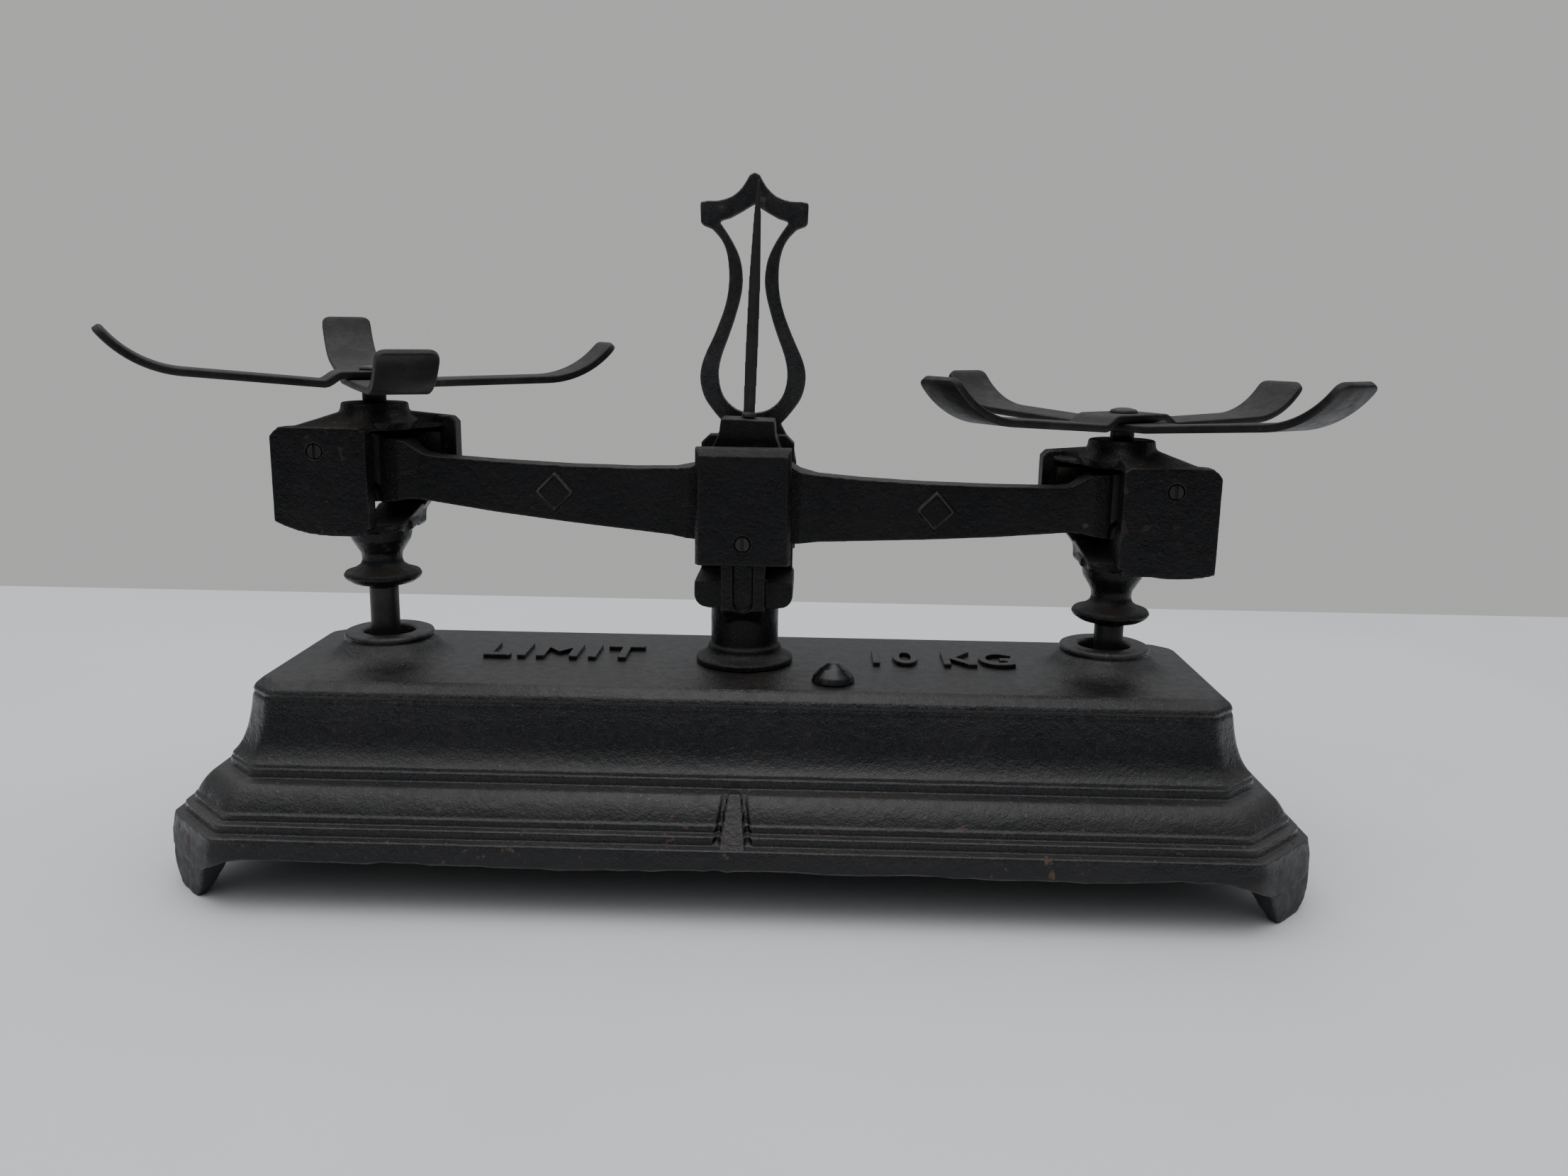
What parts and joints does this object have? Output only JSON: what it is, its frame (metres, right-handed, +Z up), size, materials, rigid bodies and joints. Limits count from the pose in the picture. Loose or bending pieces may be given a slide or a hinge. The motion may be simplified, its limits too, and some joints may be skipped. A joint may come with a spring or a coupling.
{
  "type": "roberval counter balance",
  "caption": "Equal-arm counter balance: tilting beam on a forked column, upright pan carriers with bent-strip crosses, needle in a lyre frame, moulded hollow base.",
  "frame": {"origin": "on the floor under the middle of the base", "axes": "+X along the beam to the side whose pan hangs lower, +Y from the needle towards the lyre frame behind it, +Z up"},
  "size_m": [0.4399, 0.1693, 0.2544],
  "materials": {
    "black_iron": "aged semi-gloss black paint on cast iron, dusty on top, rust flecks low down",
    "cross_steel": "worn black-brown paint on bent steel strip, bare at the edges",
    "dark_steel": "darkened, lightly tarnished steel",
    "knife_steel": "ground hardened steel",
    "seal_lead": "smooth dark painted lead"
  },
  "bodies": {
    "base": {"base_casting": "black_iron", "seal_plug": "seal_lead", "column_casting": "black_iron", "column_stud": "dark_steel", "column_nut": "dark_steel", "front_middle_bearing": "knife_steel", "back_middle_bearing": "knife_steel", "front_cover": "black_iron", "back_cover": "black_iron", "front_cover_screw": "dark_steel", "back_cover_screw": "dark_steel", "stabiliser_bracket": "black_iron", "bracket_pin": "dark_steel", "front_link_spacer": "dark_steel", "back_link_spacer": "dark_steel", "lyre_frame": "black_iron"},
    "beam": {"beam_casting": "black_iron", "middle_knife": "knife_steel", "left_end_knife": "knife_steel", "right_end_knife": "knife_steel", "needle": "dark_steel"},
    "left_carrier": {"left_carrier_casting": "black_iron", "left_front_bearing": "knife_steel", "left_back_bearing": "knife_steel", "left_front_bearing_screw": "dark_steel", "left_back_bearing_screw": "dark_steel", "left_guide_rod": "dark_steel"},
    "left_cross": {"left_lower_strip": "cross_steel", "left_upper_strip": "cross_steel", "left_cross_stud": "dark_steel"},
    "right_carrier": {"right_carrier_casting": "black_iron", "right_front_bearing": "knife_steel", "right_back_bearing": "knife_steel", "right_front_bearing_screw": "dark_steel", "right_back_bearing_screw": "dark_steel", "right_guide_rod": "dark_steel"},
    "right_cross": {"right_lower_strip": "cross_steel", "right_upper_strip": "cross_steel", "right_cross_stud": "dark_steel"},
    "stabiliser": {"stabiliser_bar": "dark_steel", "left_link_pin": "dark_steel", "right_link_pin": "dark_steel"}
  },
  "joints": [
    {"name": "beam_tilt", "type": "hinge", "parent": "base", "child": "beam", "pos_m": [0, 0, 0.14], "axis": [0, 1, 0], "range_deg": [-7.4, 3.6]},
    {"name": "left_carrier_pivot", "type": "hinge", "parent": "beam", "child": "left_carrier", "pos_m": [-0.13742, 0, 0.14456], "axis": [0, 1, 0], "range_deg": [-3.6, 7.4]},
    {"name": "right_carrier_pivot", "type": "hinge", "parent": "beam", "child": "right_carrier", "pos_m": [0.13742, 0, 0.13544], "axis": [0, 1, 0], "range_deg": [-3.6, 7.4]},
    {"name": "stabiliser_tilt", "type": "hinge", "parent": "base", "child": "stabiliser", "pos_m": [0, 0, 0.032], "axis": [0, 1, 0], "range_deg": [-7.4, 3.6]},
    {"name": "left_cross_swivel", "type": "hinge", "parent": "left_carrier", "child": "left_cross", "pos_m": [-0.13742, 0, 0.17], "axis": [0, 0, 1], "continuous": true},
    {"name": "right_cross_swivel", "type": "hinge", "parent": "right_carrier", "child": "right_cross", "pos_m": [0.13742, 0, 0.16], "axis": [0, 0, 1], "continuous": true}
  ],
  "couplings": [
    {"joint": "left_carrier_pivot", "follows": "beam_tilt", "ratio": -1},
    {"joint": "right_carrier_pivot", "follows": "beam_tilt", "ratio": -1},
    {"joint": "stabiliser_tilt", "follows": "beam_tilt", "ratio": 1}
  ]
}
